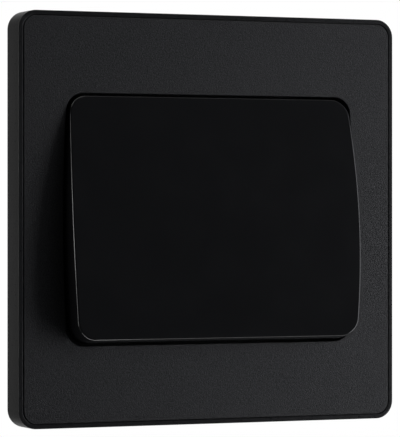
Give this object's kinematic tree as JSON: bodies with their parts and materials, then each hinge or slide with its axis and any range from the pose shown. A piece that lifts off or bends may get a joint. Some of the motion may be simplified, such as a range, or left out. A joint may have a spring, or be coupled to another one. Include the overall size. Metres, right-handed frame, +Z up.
{
  "type": "rocker wall switch",
  "caption": "Square wall light switch with a wide glossy rocker, a textured screwless cover that pulls off, and a two-way toggle mechanism behind it.",
  "frame": {"origin": "centre of the square cover on the wall plane", "axes": "+Z up, +X to the right as seen from the room, +Y into the wall; the front faces -Y"},
  "size_m": [0.095, 0.0358, 0.095],
  "materials": {
    "gloss_black": "polished moulding",
    "satin_black": "satin moulding",
    "textured_black": "fine spark-eroded texture",
    "frame_black": "matt moulding",
    "housing_grey": "matt moulding",
    "nylon_white": "satin moulding",
    "brass": "machined",
    "copper": "stamped strip",
    "silver": "bright",
    "steel": "zinc plated"
  },
  "bodies": {
    "base": {"mounting_frame": "frame_black", "cover_clip_1": "steel", "cover_clip_2": "steel", "cover_clip_3": "steel", "cover_clip_4": "steel", "fixing_screw_left": "steel", "fixing_screw_right": "steel", "switch_base": "housing_grey", "switch_deck": "housing_grey", "deck_screw_1": "steel", "deck_screw_2": "steel", "deck_screw_3": "steel", "deck_screw_4": "steel", "com_terminal": "brass", "l1_terminal": "brass", "l2_terminal": "brass", "com_strip": "brass", "l1_strip": "brass", "l2_strip": "brass", "fixed_contact_l1": "silver", "fixed_contact_l2": "silver"},
    "cover": {"surround_frame": "satin_black", "front_plate": "textured_black"},
    "rocker": {"rocker_cap": "gloss_black", "rocker_carrier": "nylon_white", "drive_spring": "steel"},
    "plunger": {"drive_plunger": "brass"},
    "blade": {"contact_blade": "copper", "moving_contact_l1": "silver", "moving_contact_l2": "silver"},
    "common_screw": {"com_screw": "steel"},
    "first_screw": {"l1_screw": "steel"},
    "second_screw": {"l2_screw": "steel"}
  },
  "joints": [
    {"name": "rocker_tilt", "type": "hinge", "parent": "base", "child": "rocker", "pos_m": [0, -0.0062, 0], "axis": [1, 0, 0], "range_deg": [0, 12.38]},
    {"name": "plunger_slide", "type": "slide", "parent": "rocker", "child": "plunger", "axis": [0, -0.9942, 0.1078], "range_m": [0, 0.0012], "stiffness_N_per_m": 50, "springref_m": -0.003, "deforming": ["drive_spring"]},
    {"name": "blade_rock", "type": "hinge", "parent": "base", "child": "blade", "pos_m": [0, 0.0082, 0], "axis": [1, 0, 0], "range_deg": [-14, 0]},
    {"name": "cover_pull", "type": "slide", "parent": "base", "child": "cover", "axis": [0, -1, 0], "range_m": [0, 0.02]},
    {"name": "com_screw_travel", "type": "slide", "parent": "base", "child": "common_screw", "axis": [0, 1, 0], "range_m": [0, 0.0025]},
    {"name": "l1_screw_travel", "type": "slide", "parent": "base", "child": "first_screw", "axis": [0, 1, 0], "range_m": [0, 0.0025]},
    {"name": "l2_screw_travel", "type": "slide", "parent": "base", "child": "second_screw", "axis": [0, 1, 0], "range_m": [0, 0.0025]}
  ],
  "couplings": [
    {"joint": "blade_rock", "follows": "rocker_tilt", "ratio": -1.13}
  ]
}
